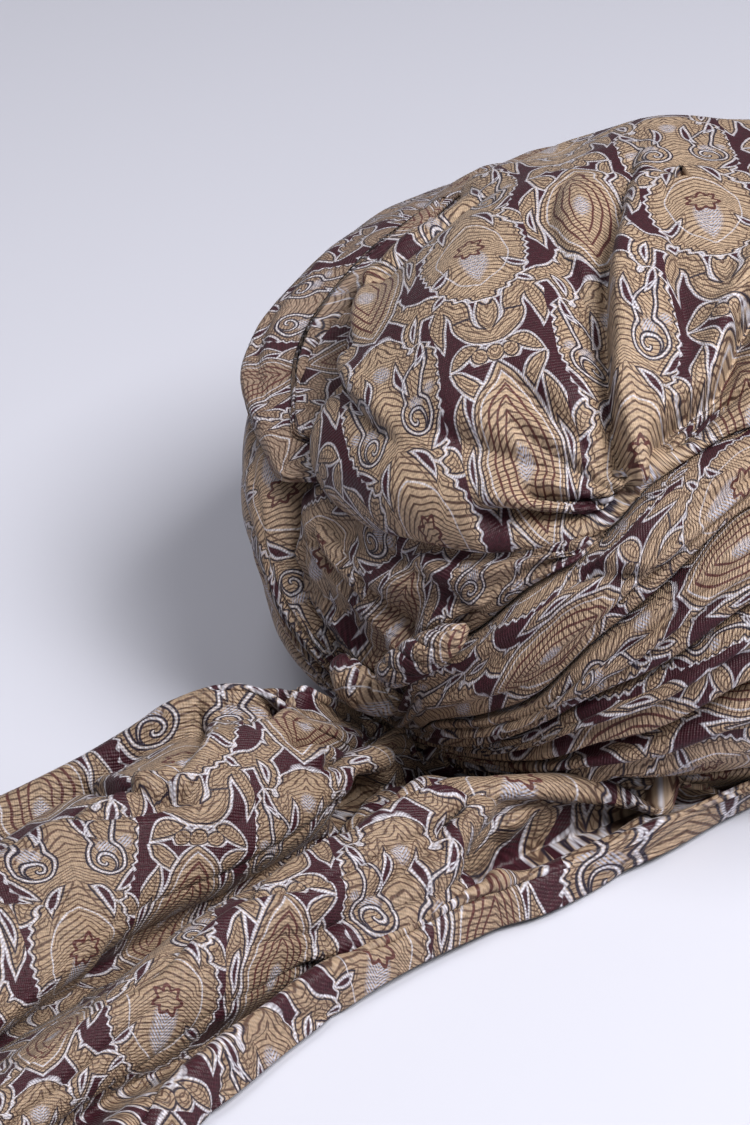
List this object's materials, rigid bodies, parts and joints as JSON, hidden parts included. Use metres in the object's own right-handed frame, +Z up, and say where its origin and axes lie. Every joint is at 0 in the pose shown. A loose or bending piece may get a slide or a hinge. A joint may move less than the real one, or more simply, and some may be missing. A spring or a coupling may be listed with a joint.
{
  "type": "wound turban",
  "caption": "Ready-wound turban of heavy woven brocade with an open head hollow and a free tail of cloth at the back.",
  "frame": {"origin": "centre of the head opening, on the plane that the turban rests on", "axes": "+X to the wearer's left, +Y to the back, where the tail leaves, +Z up towards the crown"},
  "size_m": [0.2551, 0.4625, 0.146],
  "materials": {
    "crown_brocade": "woven brocade, slight sheen",
    "wrap_brocade": "woven brocade, slight sheen",
    "fan_brocade": "woven brocade, slight sheen",
    "roll_brocade": "woven brocade, slight sheen",
    "gather_brocade": "woven brocade, slight sheen",
    "tail_brocade": "woven brocade, slight sheen"
  },
  "bodies": {
    "root": {"crown": "crown_brocade", "base_wrap": "wrap_brocade", "wrap_low": "wrap_brocade", "wrap_mid": "wrap_brocade", "wrap_high": "wrap_brocade", "wrap_top": "wrap_brocade", "back_fan": "fan_brocade", "side_roll_outer": "roll_brocade", "side_roll_inner": "roll_brocade", "gather_roll": "gather_brocade", "gather_tuck": "gather_brocade", "tail": "tail_brocade"}
  },
  "joints": []
}
